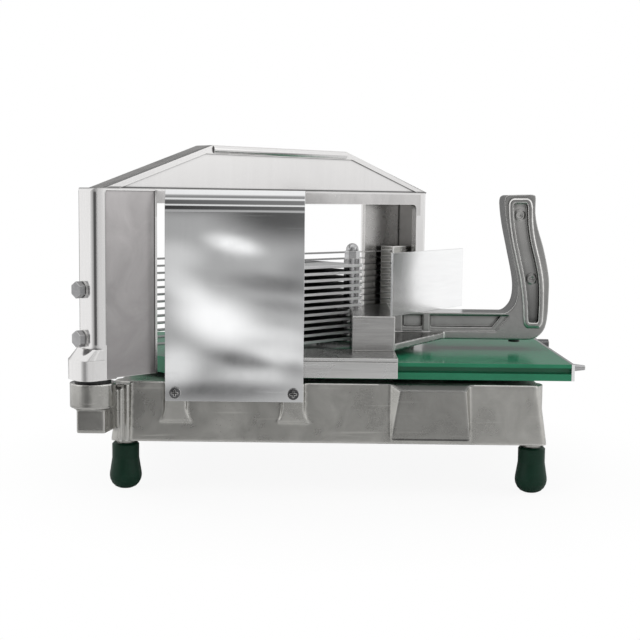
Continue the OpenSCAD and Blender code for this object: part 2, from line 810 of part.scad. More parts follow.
module frame_casting() {
  flange_t = 3.7;
  bead_r = 2.9;
  web_t = 4;
  web_set = 1;
  deck_t = 4.5;
  rim = 1.6;
  rim_d = 0.6;
  fillet_r = 4;
  top_r = 4;
  opening_u1 = half_l - lip_w;
  color(polished) in_frame() difference() {
    union() {
      slab(frame_z0, eaves_z) left_leg_plan();
      slab(frame_z0, eaves_z) right_leg_plan();
      block([-half_l + leg_w - 1, front_y, bar_z0], [opening_u1 + 1, front_y + panel_t, eaves_z]);
      spread(front_y, front_y + panel_t - 0.5) difference() {
        translate([opening_u1 - fillet_r, bar_z0 - fillet_r]) square(fillet_r + 1);
        translate([opening_u1 - fillet_r, bar_z0 - fillet_r]) circle(fillet_r);
      }
      slab(eaves_z - deck_t, eaves_z) round_rect([-half_l, front_y], [half_l, left_rear_y], leg_corner);
      slab(eaves_z - deck_t, eaves_z) intersection() {
        translate([rear_panel_u0, front_y]) square([half_l - rear_panel_u0, frame_d]);
        round_rect([-half_l, front_y], [half_l, rear_y], 5);
      }
      spread(front_y + web_set, front_y + web_set + web_t) gable_outline(0, 0);
      spread(front_y, front_y + flange_w) difference() {
        gable_outline(0, 0);
        gable_outline(flange_t, 2 * bead_r);
        translate([-half_l, eaves_z - 2]) square([frame_l, 2 - eps]);
      }
      rod_x(-ridge_l / 2, ridge_l / 2, front_y + 1.4, ridge_z - bead_r, bead_r);
      hub(-1);
      hub(1);
    }
    spread(front_y - 1, rear_y + 1) difference() {
      translate([-half_l - 1, eaves_z - top_r]) square(top_r + 1);
      translate([-half_l + top_r, eaves_z - top_r]) circle(top_r);
    }
    block([-half_l + leg_corner + 0.4, front_y - 1, frame_z0 - 2],
      [-half_l + leg_w - rim, front_y + rim_d, eaves_z - rim]);
    translate([-hub_u, 0, hub_z0 - 1]) cylinder(r = pin_r + run_fit, h = pin_z1 - hub_z0 + 1.5);
    translate([hub_u, 0, hub_z0 - 1]) cylinder(r = latch_slot, h = latch_z1 - hub_z0 + 2);
    block([hub_u - latch_slot, -hub_r - 1, hub_z0 - 1], [hub_u + latch_slot, 0, latch_z1 + 1]);
    rod_x(hub_u, hub_u + hub_r + 1, 0, lock_z, lock_r + run_fit);
    for (z = bolt_z) {
      rod_x(-half_l - 1, -half_l + end_t + 1, 0, z, bolt_r + seat_fit);
      rod_x(half_l - end_t - 1, half_l + 1, 0, z, bolt_r + seat_fit);
      rod_x(-half_l - hub_r, -half_l, 0, z, bolt_washer_r + 0.5);
      rod_x(half_l, half_l + hub_r, 0, z, bolt_washer_r + 0.5);
    }
  }
}

// Knurled screw that presses on the locating stud
module lock_screw() {
  color(steel) in_frame() {
    rod_x(lock_tip_u, lock_seat_u, 0, lock_z, lock_r);
    rod_x(lock_seat_u, lock_seat_u + lock_head_l, 0, lock_z, lock_head_r);
  }
}

// Blades and holders

module blade(i) {
  edge = 3;
  color(steel) in_frame() difference() {
    translate([-blade_half, 0, blade_z(i)]) rotate([90, 0, 90]) linear_extrude(2 * blade_half) polygon([
      [-blade_w / 2, 0], [-blade_w / 2 + edge, -blade_t / 2], [blade_w / 2, -blade_t / 2],
      [blade_w / 2, blade_t / 2], [-blade_w / 2 + edge, blade_t / 2]
    ]);
    for (side = [-1, 1]) {
      rod([side * rod_span / 2, 0], rod_r + run_fit, blade_z(i) - blade_t, blade_z(i) + blade_t);
    }
  }
}

// Comb that holds one end of every blade, from u_in to u_out
module holder(side, u_out) {
  slot_h = blade_t + 0.1;
  slot_y = blade_w / 2 + 0.15;
  hole_in = side * (bolt_end - 0.3);
  hole_out = side * (u_out + 1);
  color(aluminium) in_frame() difference() {
    block([min(side * holder_in, side * u_out), -holder_d / 2, holder_z0],
      [max(side * holder_in, side * u_out), holder_d / 2, holder_z1]);
    for (i = [1 : blade_n]) {
      block([min(side * (holder_in - 1), side * slot_end), -slot_y, blade_z(i) - slot_h / 2],
        [max(side * (holder_in - 1), side * slot_end), slot_y, blade_z(i) + slot_h / 2]);
    }
    rod([side * rod_span / 2, 0], rod_r + run_fit, holder_z0 - 1, holder_z1 + 1);
    for (z = bolt_z) {
      rod_x(min(hole_in, hole_out), max(hole_in, hole_out), 0, z, bolt_r + seat_fit);
    }
  }
}

module front_blade_holder() {
  holder(-1, front_holder_out);
}

module rear_blade_holder() {
  holder(1, rear_holder_out);
}

module blade_rods() {
  color(steel) in_frame() for (side = [-1, 1]) {
    rod([side * rod_span / 2, 0], rod_r, holder_z0, holder_z1);
  }
}

module tension_bolts() {
  seat = -half_l - bolt_washer_t;
  color(steel) in_frame() for (z = bolt_z) {
    rod_x(seat, -bolt_end, 0, z, bolt_r);
    rod_x(seat - bolt_head_h, seat, 0, z, bolt_af / sqrt(3), 6);
  }
}

module tension_washers() {
  color(steel) in_frame() for (z = bolt_z) {
    difference() {
      rod_x(-half_l - bolt_washer_t, -half_l, 0, z, bolt_washer_r);
      rod_x(-half_l - bolt_washer_t - 1, -half_l + 1, 0, z, bolt_r + seat_fit);
    }
  }
}

module holder_screws() {
  color(steel) in_frame() for (z = bolt_z) {
    rod_x(bolt_end, half_l, 0, z, bolt_r);
    rod_x(half_l, half_l + 4, 0, z, 2 * bolt_r - 1);
  }
}

// Pusher

module cross_beam() {
  color(aluminium) difference() {
    union() {
      slab(plate_z1, beam_z1) polygon([
        [beam_x0, beam_y0], [beam_x1, beam_y0],
        [beam_x1, on_beam_end(beam_x1)], [beam_x0, on_beam_end(beam_x0)]
      ]);
      rod(stud_at[1], lobe_r, plate_z1, beam_z1);
    }
    rod(stud_at[1], stud_r + seat_fit, plate_z1 + stud_seat, beam_z1 + 1);
    for (i = [1 : fin_n - fin_upper_n]) {
      block([beam_x0 - lobe_r - 1, stud_at[1][1] - lobe_r - 1, fin_z(i) - fin_t / 2 - run_fit],
        [beam_x0, stud_at[1][1] + lobe_r + 1, fin_z(i) + fin_t / 2 + run_fit]);
    }
    for (z = handle_screw_z) {
      rod_x(beam_x0 - 1, beam_x1 + 1, handle_screw_y, z, handle_screw_r + seat_fit);
      rod_x(beam_x0 - 1, beam_x0 + handle_screw_head_h, handle_screw_y, z,
        handle_screw_head_r + seat_fit);
    }
    for (p = concat(front_rail_screws, rear_rail_screws)) {
      rod(p, rail_screw_r + seat_fit, plate_z1 - 1, plate_z1 + 9);
    }
  }
}

// Rail section in the YZ plane: web outside the board, plate on top, tongue in the groove
module rail_section(edge, out, plate_y) {
  side = out > 0 ? 1 : -1;
  line = 0.6;
  gap = edge + side * slide_gap;
  skin = edge + side * rail_out;
  tongue_z0 = groove_z0 + slide_gap;
  polygon([
    [skin, rail_z0], [gap, rail_z0], [gap, tongue_z0], [edge - side * tongue_d, tongue_z0],
    [edge - side * tongue_d, tongue_z0 + tongue_h], [gap, tongue_z0 + tongue_h], [gap, plate_z0],
    [plate_y, plate_z0], [plate_y, plate_z1], [skin, plate_z1], [skin, plate_z0 + line],
    [skin - side * line, plate_z0 + line], [skin - side * line, plate_z0], [skin, plate_z0]
  ]);
}

// Rail with holes for the screws that come up from below the plate
module rail(x0, edge, out, plate_y, screws) {
  difference() {
    translate([x0, 0, 0]) rotate([90, 0, 90])
      linear_extrude(beam_x1 - x0) rail_section(edge, out, plate_y);
    for (p = screws) {
      rod(p, rail_screw_r + seat_fit, plate_z0 - 1, plate_z1 + 1);
      rod(p, rail_screw_head_r + seat_fit, plate_z0 - 1, plate_z0 + 1.4);
    }
  }
}

module front_rail() {
  color(aluminium) difference() {
    union() {
      rail(front_rail_x0, board_y0, -1, front_plate_y1, front_rail_screws);
      rod(stud_at[0], spacer_r + 2, plate_z1 - eps, stud_boss_z);
    }
    rod(stud_at[0], stud_r + seat_fit, plate_z0 + 0.8, stud_boss_z + 1);
  }
}

module rear_rail() {
  color(aluminium) rail(rear_rail_x0, board_y1, 1, rear_plate_y0, rear_rail_screws);
}

module rail_screws() {
  color(steel) for (p = concat(front_rail_screws, rear_rail_screws)) {
    rod(p, rail_screw_r, plate_z0 + 1.4, plate_z1 + 8);
    rod(p, rail_screw_head_r, plate_z0 + 0.2, plate_z0 + 1.4);
  }
}

// Plan of a fin in the frame's axes
module fin_plan() {
  round_rect([fin_u0, -fin_n1], [fin_u1, -fin_n0], 4);
}

// Fins above the beam reach both studs; those beside the beam end in its slots
module pusher_fin(i) {
  is_upper = i > fin_n - fin_upper_n;
  color(polished) difference() {
    in_frame() slab(fin_z(i) - fin_t / 2, fin_z(i) + fin_t / 2) fin_plan();
    for (at = stud_at) {
      rod(at, stud_r + run_fit, fin_z(i) - fin_t, fin_z(i) + fin_t);
    }
    if (!is_upper) {
      block([beam_x0 - run_fit, beam_y0 - 1, fin_z(i) - fin_t],
        [beam_x1 + lobe_r, board_y1, fin_z(i) + fin_t]);
    }
  }
}

module fin_spacer(at, z0, z1) {
  difference() {
    rod(at, spacer_r, z0, z1);
    rod(at, stud_r + run_fit, z0 - 1, z1 + 1);
  }
}

module fin_spacers() {
  first_upper = fin_n - fin_upper_n + 1;
  color(polished) {
    fin_spacer(stud_at[1], beam_z1, fin_z(first_upper) - fin_t / 2);
    for (i = [1 : fin_n - 1]) {
      fin_spacer(stud_at[0], fin_z(i) + fin_t / 2, fin_z(i + 1) - fin_t / 2);
    }
    for (i = [first_upper : fin_n - 1]) {
      fin_spacer(stud_at[1], fin_z(i) + fin_t / 2, fin_z(i + 1) - fin_t / 2);
    }
    for (at = stud_at) {
      fin_spacer(at, fin_top, fin_top + cap_washer_t);
    }
  }
}

module fin_studs() {
  color(steel) {
    rod(stud_at[0], stud_r, plate_z0 + 0.8, fin_top + cap_washer_t + cap_hex_h);
    rod(stud_at[1], stud_r, plate_z1 + stud_seat, fin_top + cap_washer_t + cap_hex_h);
  }
}

// Acorn nuts: hexagon below, dome above
module cap_nuts() {
  dome_r = 1.5 * stud_r;
  z0 = fin_top + cap_washer_t;
  color(polished) for (at = stud_at) {
    difference() {
      union() {
        translate([at[0], at[1], z0]) cylinder(r = dome_r * 1.24, h = cap_hex_h, $fn = 6);
        rod(at, dome_r, z0, z0 + cap_hex_h + 1);
        translate([at[0], at[1], z0 + cap_hex_h + 1]) sphere(dome_r);
      }
      rod(at, stud_r + run_fit, z0 - 1, z0 + cap_hex_h + 0.1);
    }
  }
}

// Handle

// Point on a smooth curve through a list of points, t from 0 to 1 between points i and i + 1
function through(p, i, t) =
  let (a = p[max(i - 1, 0)], b = p[i], c = p[i + 1], d = p[min(i + 2, len(p) - 1)])
  0.5 * (2 * b + (c - a) * t + (2 * a - 5 * b + 4 * c - d) * t * t + (3 * b - a - 3 * c + d) * t * t * t);
function curve(p, steps) = concat(
  [for (i = [0 : len(p) - 2]) for (k = [0 : steps - 1]) through(p, i, k / steps)],
  [p[len(p) - 1]]
);

// Point of the grip's side outline: a along its length, b up from the arm's top, both as shares
function grip_at(a, b) = [grip_x + a * grip_l, arm_z1 + b * grip_rise];

// Side outline of the grip: front edge going up, rounded top, back edge going down to the heel
grip_front = [
  grip_at(0.16, 0), grip_at(0.255, 0.022), grip_at(0.36, 0.085), grip_at(0.40, 0.19), grip_at(0.37, 0.32),
  grip_at(0.27, 0.52), grip_at(0.155, 0.75), grip_at(0.105, 0.91), grip_at(0.115, 0.973), grip_at(0.17, 0.993)
];
grip_back = [
  grip_at(0.6, 1), grip_at(0.676, 0.993), grip_at(0.697, 0.965), grip_at(0.698, 0.843), grip_at(0.75, 0.723),
  grip_at(0.878, 0.542), grip_at(0.985, 0.325), grip_at(1, 0.169), grip_at(0.978, -0.048),
  grip_at(0.897, -0.157), grip_at(0.707, -arm_h / grip_rise + 0.007), grip_at(0.435, -arm_h / grip_rise)
];

module grip_outline() {
  polygon(concat(curve(grip_front, 5), curve(grip_back, 5), [[grip_x, arm_z0], [grip_x, arm_z1]]));
}

// Outline of the bead round the grip's recess: front side going up, then back side going down
panel_front = [
  grip_at(0.60, -0.115), grip_at(0.55, -0.088), grip_at(0.53, -0.04), grip_at(0.503, 0.115),
  grip_at(0.444, 0.286), grip_at(0.367, 0.435), grip_at(0.269, 0.62), grip_at(0.211, 0.78),
  grip_at(0.19, 0.895), grip_at(0.205, 0.94), grip_at(0.26, 0.962)
];
panel_back = [
  grip_at(0.54, 0.964), grip_at(0.60, 0.945), grip_at(0.632, 0.90), grip_at(0.64, 0.84),
  grip_at(0.65, 0.757), grip_at(0.70, 0.62), grip_at(0.808, 0.437), grip_at(0.877, 0.286),
  grip_at(0.898, 0.117), grip_at(0.893, -0.04), grip_at(0.875, -0.088), grip_at(0.83, -0.116)
];

module panel_outline(inset) {
  offset(delta = -inset) polygon(concat(curve(panel_front, 4), curve(panel_back, 4)));
}

// Raised bead on one face of the grip, in two layers
module grip_bead(face, side) {
  for (k = [0, 1]) {
    out = face + side * bead_h * (k + 1) / 2;
    spread(min(face - side, out), max(face - side, out)) difference() {
      panel_outline(k * bead_step);
      panel_outline(grip_border - k * bead_step);
    }
  }
}

// Web that braces the arm against the beam on one side
module gusset(side) {
  y_arm = deck_mid_y + side * (handle_w / 2 - 0.5);
  y_beam = deck_mid_y + side * (deck_mid_y - beam_y0 - 1);
  z_beam = arm_z0 - gusset_drop;
  z_arm = arm_z0 + 0.5;
  hull() {
    block([beam_x1, min(y_arm, y_beam), z_beam], [beam_x1 + eps, max(y_arm, y_beam), z_beam + gusset_t]);
    block([beam_x1, y_arm - eps, z_arm], [beam_x1 + gusset_l, y_arm + eps, z_arm + gusset_t]);
  }
}

// Pocket in one face of the arm, with a rib left standing, let out by a step at its rim
module arm_pockets(y0, y1, step) {
  z0 = arm_z0 + pocket_up - step;
  z1 = arm_z1 - pocket_down;
  rib_x1 = pocket_rib_x + pocket_rib_w - step / 3;
  end_x = grip_x + pocket_end + step;
  block([beam_x1 + pocket_from_beam - step / 3, y0, z0], [pocket_rib_x + step / 3, y1, z1]);
  spread(y0, y1) polygon([[rib_x1, z0], [end_x, z0], [end_x + 0.78 * (z1 - z0), z1], [rib_x1, z1]]);
}

module push_handle() {
  mark_at = [grip_at(0.41, 0.825), grip_at(0.67, 0.29)];
  color(aluminium) difference() {
    union() {
      block([beam_x1, handle_y0, arm_z0], [grip_x + 1, handle_y1, arm_z1]);
      spread(handle_y0, handle_y1) grip_outline();
      gusset(-1);
      gusset(1);
      grip_bead(handle_y0, -1);
      grip_bead(handle_y1, 1);
    }
    arm_pockets(handle_y0 - 1, handle_y0 + rim_depth, pocket_step);
    arm_pockets(handle_y1 - rim_depth, handle_y1 + 1, pocket_step);
    for (side = [-1, 1]) {
      face = deck_mid_y + side * handle_w / 2;
      floor_y = face - side * recess_d;
      y0 = min(face + 2 * side, floor_y);
      y1 = max(face + 2 * side, floor_y);
      arm_pockets(y0, y1, 0);
      difference() {
        spread(y0, y1) panel_outline(grip_border);
        spread(floor_y - mark_h, floor_y + mark_h) for (m = mark_at) {
          translate(m) difference() {
            circle(mark_r);
            circle(0.5 * mark_r);
          }
        }
      }
    }
    for (z = handle_screw_z) {
      rod_x(beam_x1 - 1, beam_x1 + handle_screw_grip + 0.4, handle_screw_y, z, handle_screw_r + seat_fit);
    }
    for (x = glide_x) {
      rod([x, deck_mid_y], glide_stem_r + seat_fit, arm_z0 - 1, arm_z0 + glide_stem_l + 0.3);
    }
    for (s = shield_screw_s) {
      rod(shield_point(s, shield_flange / 2), shield_screw_r + seat_fit, arm_z1 - 9, arm_z1 + 1);
    }
  }
}

module handle_screws() {
  color(steel) for (z = handle_screw_z) {
    rod_x(beam_x0 + handle_screw_head_h, beam_x1 + handle_screw_grip, handle_screw_y, z, handle_screw_r);
    rod_x(beam_x0 + 0.3, beam_x0 + handle_screw_head_h, handle_screw_y, z, handle_screw_head_r);
  }
}

module glide_buttons() {
  color([0.12, 0.13, 0.13]) for (x = glide_x) {
    rod([x, deck_mid_y], glide_stem_r, arm_z0 - eps, arm_z0 + glide_stem_l);
    rod([x, deck_mid_y], glide_r, arm_z0 - glide_h, arm_z0);
  }
}

// Hand guard

// Plan point at a distance s along the hand guard and d to its rear side
function shield_point(s, d) = [
  shield_at[0] + s * cos(shield_angle) - d * sin(shield_angle),
  shield_at[1] + s * sin(shield_angle) + d * cos(shield_angle)
];

module hand_guard() {
  foot_s = 24;
  color(polished) difference() {
    translate([shield_at[0], shield_at[1], arm_z1]) rotate(shield_angle) union() {
      cube([shield_l, shield_t, shield_h]);
      translate([shield_mid - foot_s / 2 - 2, 0, 0]) cube([foot_s, shield_flange, shield_t]);
    }
    for (s = shield_screw_s) {
      rod(shield_point(s, shield_flange / 2), shield_screw_r + seat_fit, arm_z1 - 1, arm_z1 + shield_t + 1);
    }
  }
}

module hand_guard_screws() {
  color(steel) for (s = shield_screw_s) {
    at = shield_point(s, shield_flange / 2);
    translate([at[0], at[1], arm_z1 + shield_t]) pan_screw(shield_screw_r, shield_t + 8, 3.6, 2.2);
  }
}

// What is drawn

placed() base_casting();
placed() slide_board();
placed() board_screws();
placed() end_strip();
placed() stop_pin();
placed() stop_screw();
placed() front_guard();
placed() guard_screws();
placed() hinge_pin();
placed() locating_stud();
placed() bearing_washers();
placed() frame_casting();
placed() front_blade_holder();
placed() rear_blade_holder();
placed() blade_rods();
placed() tension_bolts();
placed() tension_washers();
placed() holder_screws();
placed() lock_screw();
placed() cross_beam();
placed() front_rail();
placed() rear_rail();
placed() rail_screws();
placed() fin_spacers();
placed() fin_studs();
placed() cap_nuts();
placed() push_handle();
placed() handle_screws();
placed() glide_buttons();
placed() hand_guard();
placed() hand_guard_screws();
for (i = [0 : 3]) {
  placed() rubber_foot(i);
}
for (i = [1 : blade_n]) {
  placed() blade(i);
}
for (i = [1 : fin_n]) {
  placed() pusher_fin(i);
}
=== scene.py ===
"""Looks for a hand-pushed tomato slicer: metals, board, feet, studio light and the photograph's camera."""

import math

import bpy
from mathutils import Matrix, Vector

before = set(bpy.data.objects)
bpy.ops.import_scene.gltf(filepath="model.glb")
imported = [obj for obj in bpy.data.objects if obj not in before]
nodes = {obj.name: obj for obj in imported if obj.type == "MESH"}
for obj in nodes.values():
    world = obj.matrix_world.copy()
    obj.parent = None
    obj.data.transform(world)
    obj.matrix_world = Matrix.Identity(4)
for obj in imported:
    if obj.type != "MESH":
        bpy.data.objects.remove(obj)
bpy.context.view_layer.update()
scene = bpy.context.scene


# Places that the CAD nodes give, in metres

def box_of(name):
    """Lowest and highest corner of a node."""
    axes = list(zip(*nodes[name].bound_box))
    return Vector([min(axis) for axis in axes]), Vector([max(axis) for axis in axes])


def middle_of(name):
    low, high = box_of(name)
    return (low + high) / 2


HINGE = middle_of("hinge_pin")
# The blade frame stands at 45 degrees, halfway between its hinge and its locating stud
FRAME_MID = (HINGE + middle_of("locating_stud")) / 2
HANDLE_MID = middle_of("push_handle").y
# Top of the pusher's stack of fins
FIN_TOP = max(box_of(name)[1].z for name in nodes if name.startswith("pusher_fin"))

# Places read from the part's drawing, in metres

# Shift from the photograph's axes (camera column, frame middle) to the part's own origin
SHIFT = Vector((-0.007466, -0.002116, 0.0))
# Radius within which the hinge barrel is turned
BARREL_R = 0.0150
# Half the width of the handle at the foot of its bead; ledge and sunk floor, measured from its middle
HANDLE_HALF = 0.014
BEAD_LEDGE = (HANDLE_HALF + 0.0003, HANDLE_HALF + 0.0008)
SUNK_FLOOR = (HANDLE_HALF - 0.004, HANDLE_HALF - 0.0006)
# Where the grip starts along the handle, and heights on its floor
GRIP_X = 0.126
GRIP_FOOT = 0.105
GRIP_WAIST = 0.150
GRIP_TOP = 0.190
# Wedge on the base's front: its ends, its face and how far it stands out
WEDGE_X = (0.030, 0.092)
WEDGE_FRONT = -0.0962
WEDGE_OUT = 0.0062
# Heights of the frame: foot of its legs, and eaves, where the gable starts
LEG_FOOT = 0.085
EAVES = 0.198
# The moulded lip under the eaves
LIP = 0.0017

# Soft border of a mark, where its zone gives none
BORDER = 0.0002

# Zones of the frame's casting by its own axes: low limit, high limit and soft border of each
FRAME_ZONES = {
    "panel": {
        "along": (-0.1504, -0.1128, 0.0002),
        "height": (0.07, EAVES - LIP, 0.0002),
        "depth": (-0.0137, -0.0128, 0.0002),
    },
    "inside": {"along": (-0.1505, 0.1512, 0.0003), "depth": (-0.0092, 0.0122, 0.0003)},
    "bar": {
        "height": (0.180, EAVES - LIP, 0.0002),
        "along": (-0.1120, 0.1500, 0.0004),
        "depth": (-0.0145, -0.0128, 0.0002),
    },
    "gable_crease": {"height": (EAVES - 0.0002, EAVES + 0.0007, 0.0004), "depth": (-0.02, -0.0115, 0.0003)},
    "post": {"height": (0.100, EAVES - 0.003, 0.001)},
    "post_dark_line": {"depth": (-0.0118, -0.0108, 0.0003), "along": (-0.17, -0.1560, 0.0003)},
    "panel_step": {"along": (-0.1512, -0.1506, 0.0002), "depth": (-0.02, -0.0120, 0.0003)},
}
# Zones tinted darker as painted shade, and made rougher: tint and added roughness
FRAME_TINTS = (
    ("panel", (0.40, 0.385, 0.385), 0.16),
    ("inside", (0.52, 0.51, 0.50), 0.10),
    ("bar", (0.51, 0.50, 0.495), 0.06),
)

# Colours of painted light and shade, and of the turned skin
# Painted highlight on corners and on the bead's ledges
PAINTED_HIGHLIGHT = (0.93, 0.92, 0.90)
# Painted sheen at the top of the grip's floor
PAINTED_SHEEN = (0.72, 0.71, 0.69)
TURNED = (0.16, 0.158, 0.154)
# Painted shade in creases and towards the foot of the grip's floor
PAINTED_SHADE = (0.03, 0.03, 0.03)
# Painted shade on the level faces between the fins
FIN_GAP_SHADE = (0.02, 0.02, 0.02)
# Painted shade on the wedge's ledge and in the frame's dark lines; it also darkens the wedge's face
DEEP_SHADE = (0.05, 0.05, 0.05)

# The part of a cloudy noise's range that is drawn out to full contrast
MOTTLE = (0.3, 0.7)


# Shader helpers

def feed(tree, socket, value):
    """Links a socket to another node's output, or sets a constant on it."""
    if isinstance(value, bpy.types.NodeSocket):
        tree.links.new(value, socket)
    else:
        socket.default_value = value


def fill(tree, node, inputs):
    """Feeds a node's inputs by name, where an underscore stands for a space."""
    for label, value in inputs.items():
        feed(tree, node.inputs[label.replace("_", " ")], value)
    return node


def add(tree, kind, **inputs):
    return fill(tree, tree.nodes.new(kind), inputs)


def use(tree, group, **inputs):
    """A shared effect, placed in a material with its own values."""
    node = tree.nodes.new("ShaderNodeGroup")
    node.node_tree = group
    return fill(tree, node, inputs)


def link(tree, a, b):
    tree.links.new(a, b)


def math_node(tree, op, a, b=None, clamp=False):
    node = tree.nodes.new("ShaderNodeMath")
    node.operation = op
    node.use_clamp = clamp
    feed(tree, node.inputs[0], a)
    if b is not None:
        feed(tree, node.inputs[1], b)
    return node.outputs[0]


def plus(tree, a, b):
    return math_node(tree, "ADD", a, b)


def times(tree, first, *others):
    """Product of masks and numbers."""
    result = first
    for other in others:
        result = math_node(tree, "MULTIPLY", result, other)
    return result


def vector_math(tree, op, a, b=None):
    node = tree.nodes.new("ShaderNodeVectorMath")
    node.operation = op
    feed(tree, node.inputs[0], a)
    if b is not None:
        feed(tree, node.inputs[1], b)
    return node


def remap(tree, value, low, high, to_low, to_high):
    node = add(tree, "ShaderNodeMapRange", Value=value, From_Min=low, From_Max=high,
               To_Min=to_low, To_Max=to_high)
    return node.outputs["Result"]


def span(tree, value, low, high, soft):
    """1 between two limits, fading to 0 over a short way outside them."""
    rise = remap(tree, value, low - soft, low, 0.0, 1.0)
    fall = remap(tree, value, high, high + soft, 1.0, 0.0)
    return times(tree, rise, fall)


def mix_colour(tree, share, under, over):
    node = tree.nodes.new("ShaderNodeMix")
    node.data_type = "RGBA"
    # A Mix node keeps its colour sockets at these places
    for place, value in ((0, share), (6, under), (7, over)):
        feed(tree, node.inputs[place], (*value, 1.0) if isinstance(value, tuple) else value)
    return node.outputs[2]


def new_material(name):
    mat = bpy.data.materials.new(name)
    mat.use_nodes = True
    tree = mat.node_tree
    tree.nodes.clear()
    out = tree.nodes.new("ShaderNodeOutputMaterial")
    bsdf = tree.nodes.new("ShaderNodeBsdfPrincipled")
    link(tree, bsdf.outputs["BSDF"], out.inputs["Surface"])
    return mat, tree, bsdf


def shader_of(mat):
    tree = mat.node_tree
    return tree, tree.nodes["Principled BSDF"]


def lay_colour(tree, bsdf, mask, colour):
    """Lays a colour over the base colour that the material has so far."""
    base = bsdf.inputs["Base Color"]
    link(tree, mix_colour(tree, mask, base.links[0].from_socket, colour), base)


def add_roughness(tree, bsdf, extra):
    rough = bsdf.inputs["Roughness"]
    link(tree, plus(tree, rough.links[0].from_socket, extra), rough)


def object_coords(tree, scale=(1, 1, 1), rotation=(0, 0, 0)):
    coord = tree.nodes.new("ShaderNodeTexCoord")
    mapping = add(tree, "ShaderNodeMapping", Vector=coord.outputs["Object"], Scale=scale, Rotation=rotation)
    return mapping.outputs["Vector"]


def object_xyz(tree):
    """Place on the part, in metres."""
    coord = tree.nodes.new("ShaderNodeTexCoord")
    return add(tree, "ShaderNodeSeparateXYZ", Vector=coord.outputs["Object"]).outputs


def upright_mask(tree, level=0.75, upright=0.45):
    """1 on upright faces, 0 on level ones, by the upward part of the normal."""
    geometry = tree.nodes.new("ShaderNodeNewGeometry")
    split = add(tree, "ShaderNodeSeparateXYZ", Vector=geometry.outputs["Normal"])
    return remap(tree, math_node(tree, "ABSOLUTE", split.outputs["Z"]), level, upright, 0.0, 1.0)


# Shared surface effects

def new_group(name, inputs, outputs):
    group = bpy.data.node_groups.new(name, "ShaderNodeTree")
    for label, kind, value in inputs:
        socket = group.interface.new_socket(label, in_out="INPUT", socket_type=kind)
        socket.default_value = value
    for label in outputs:
        group.interface.new_socket(label, in_out="OUTPUT", socket_type="NodeSocketFloat")
    return group, group.nodes.new("NodeGroupInput"), group.nodes.new("NodeGroupOutput")


def cast_skin_group():
    """Skin of a sand or die casting: fine grain, soft flow marks and scattered pits."""
    g, gin, gout = new_group(
        "cast_skin",
        [("Grain Size", "NodeSocketFloat", 0.0012), ("Pit Amount", "NodeSocketFloat", 0.4)],
        ["Mottle", "Height", "Pits"])
    place = object_coords(g)
    grains = math_node(g, "DIVIDE", 1.0, gin.outputs["Grain Size"])
    grain = add(g, "ShaderNodeTexNoise", Vector=place, Scale=grains, Detail=4.0, Roughness=0.6)
    flow = add(g, "ShaderNodeTexNoise", Vector=place, Scale=38.0, Detail=5.0, Roughness=0.62, Distortion=0.6)
    pit = add(g, "ShaderNodeTexVoronoi", Vector=place, Scale=420.0)
    near = remap(g, pit.outputs["Distance"], 0.05, 0.16, 1.0, 0.0)
    gate = remap(g, flow.outputs["Fac"], 0.52, 0.66, 0.0, 1.0)
    pits = math_node(g, "MULTIPLY", times(g, near, gate), gin.outputs["Pit Amount"], clamp=True)
    height = math_node(g, "SUBTRACT", times(g, flow.outputs["Fac"], 0.8), pits)
    height = plus(g, height, times(g, grain.outputs["Fac"], 0.35))
    link(g, flow.outputs["Fac"], gout.inputs["Mottle"])
    link(g, height, gout.inputs["Height"])
    link(g, pits, gout.inputs["Pits"])
    return g


def brush_group():
    """Brush lines of a sanded or rolled metal, drawn out along one axis."""
    g, gin, gout = new_group(
        "brush_lines",
        [("Stretch", "NodeSocketVector", (900.0, 900.0, 14.0))],
        ["Lines", "Broad"])
    coord = g.nodes.new("ShaderNodeTexCoord")
    drawn = vector_math(g, "MULTIPLY", coord.outputs["Object"], gin.outputs["Stretch"]).outputs["Vector"]
    fine = add(g, "ShaderNodeTexNoise", Vector=drawn, Scale=1.0, Detail=3.0, Roughness=0.7)
    broad = add(g, "ShaderNodeTexNoise", Vector=drawn, Scale=0.16, Detail=3.0, Roughness=0.6)
    link(g, fine.outputs["Fac"], gout.inputs["Lines"])
    link(g, broad.outputs["Fac"], gout.inputs["Broad"])
    return g


def scratch_group():
    """Sparse handling scratches, thin and straight, in two directions."""
    g, gin, gout = new_group("handling_scratches", [("Amount", "NodeSocketFloat", 0.5)], ["Mask"])
    masks = []
    for tilt, turn in ((0.0, 0.5), (1.11, -0.9)):
        place = object_coords(g, scale=(18, 420, 420), rotation=(tilt, turn, turn * 0.7))
        noise = add(g, "ShaderNodeTexNoise", Vector=place, Scale=1.0, Detail=1.0, Roughness=0.4)
        masks.append(remap(g, noise.outputs["Fac"], 0.69, 0.76, 0.0, 1.0))
    both = math_node(g, "MAXIMUM", *masks)
    link(g, math_node(g, "MULTIPLY", both, gin.outputs["Amount"], clamp=True), gout.inputs["Mask"])
    return g


def edge_light_group():
    """Masks for a painted highlight on corners and painted shade in inner corners, found from the shape
    itself.
    """
    g, gin, gout = new_group(
        "edge_highlight_and_shade",
        [("Width", "NodeSocketFloat", 0.001), ("Reach", "NodeSocketFloat", 0.003)],
        ["Corners", "Creases"])
    for socket, inside, label, low, high in (("Width", True, "Corners", 0.96, 0.78),
                                             ("Reach", False, "Creases", 0.92, 0.50)):
        near = add(g, "ShaderNodeAmbientOcclusion", Distance=gin.outputs[socket])
        near.samples = 8
        near.inside = inside
        near.only_local = True
        link(g, remap(g, near.outputs["AO"], low, high, 0.0, 1.0), gout.inputs[label])
    return g


CAST = cast_skin_group()
BRUSH = brush_group()
SCRATCH = scratch_group()
EDGE_LIGHT = edge_light_group()


# Metals, and the marks that single pieces carry

